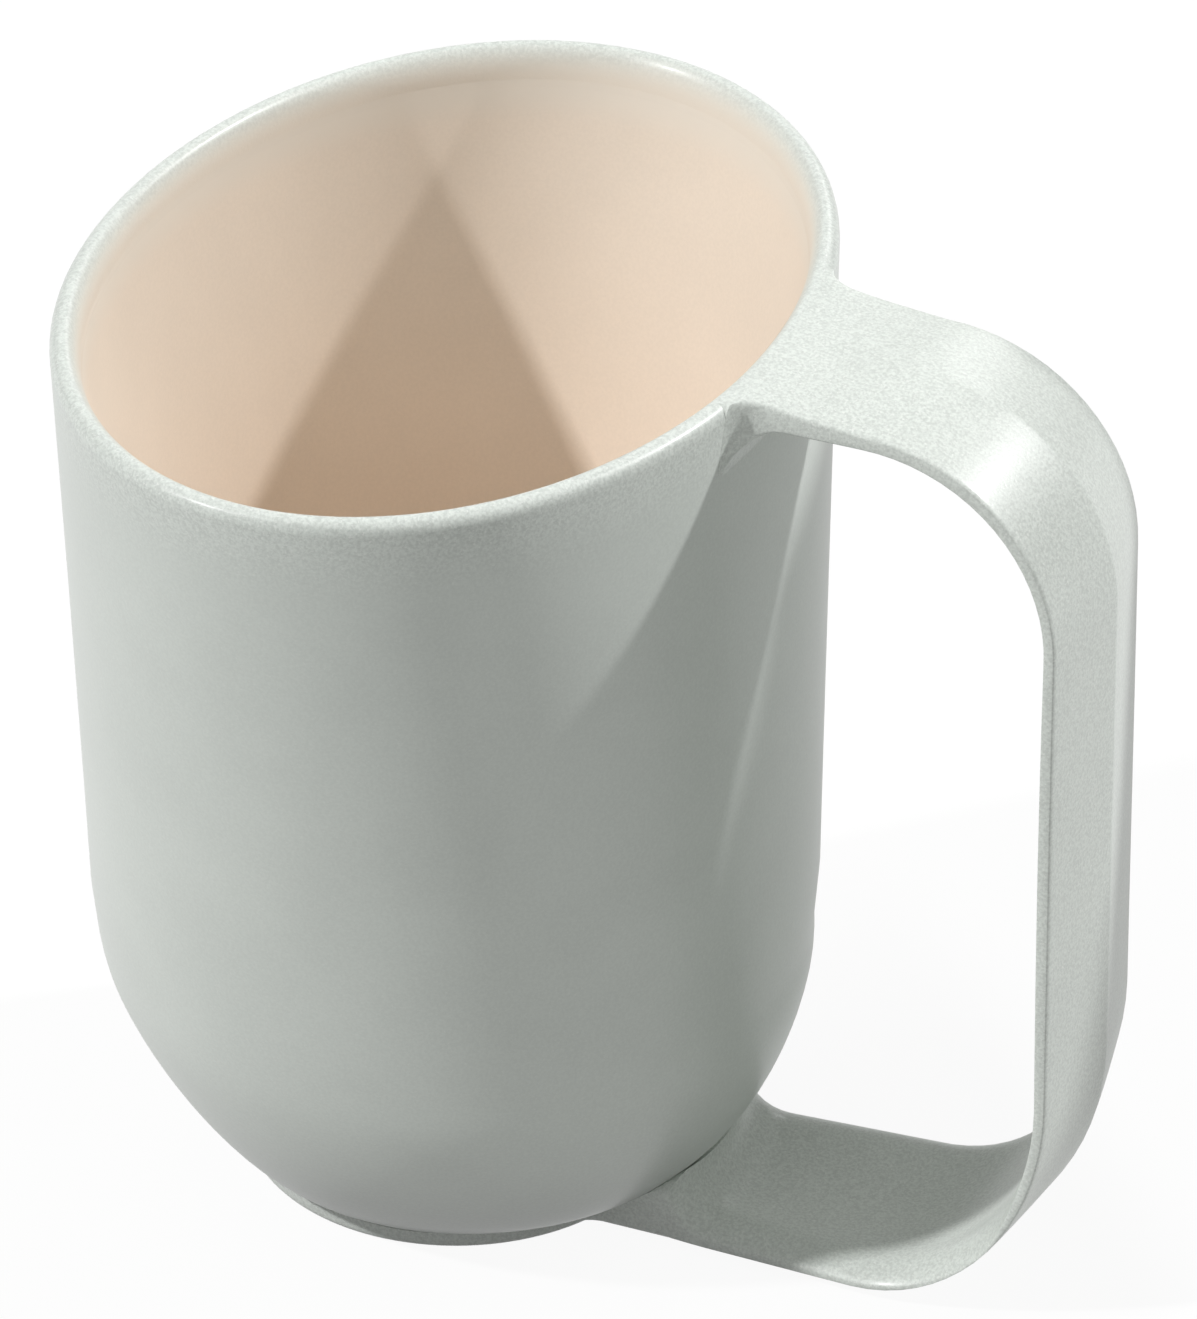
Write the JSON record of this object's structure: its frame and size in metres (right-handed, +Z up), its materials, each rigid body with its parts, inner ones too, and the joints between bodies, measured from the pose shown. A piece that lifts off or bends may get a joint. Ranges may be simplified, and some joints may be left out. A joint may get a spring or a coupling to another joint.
{
  "type": "insulated weighted cup",
  "caption": "Double-wall drinking cup with an oval mouth, a tapered well, foam between the walls, a steel weight in the base and a wide ribbon handle from lip to foot.",
  "frame": {"origin": "centre of the foot, on the surface the cup stands on", "axes": "+Z up through the mouth, +X from the cup's axis towards the handle"},
  "size_m": [0.11, 0.1006, 0.105],
  "materials": {
    "shell_plastic": "sage grey, satin, fine grain",
    "handle_plastic": "sage grey, satin, fine grain",
    "liner_plastic": "cream, satin",
    "seal_silicone": "cream silicone, matte",
    "foam": "closed-cell foam",
    "weight_steel": "turned",
    "pad_rubber": "matte",
    "ring_rubber": "matte"
  },
  "bodies": {
    "root": {"outer_shell": "shell_plastic", "inner_liner": "liner_plastic", "rim_seal": "seal_silicone", "insulation": "foam", "base_weight": "weight_steel", "weight_pad": "pad_rubber", "base_seal": "ring_rubber", "handle": "handle_plastic"}
  },
  "joints": []
}
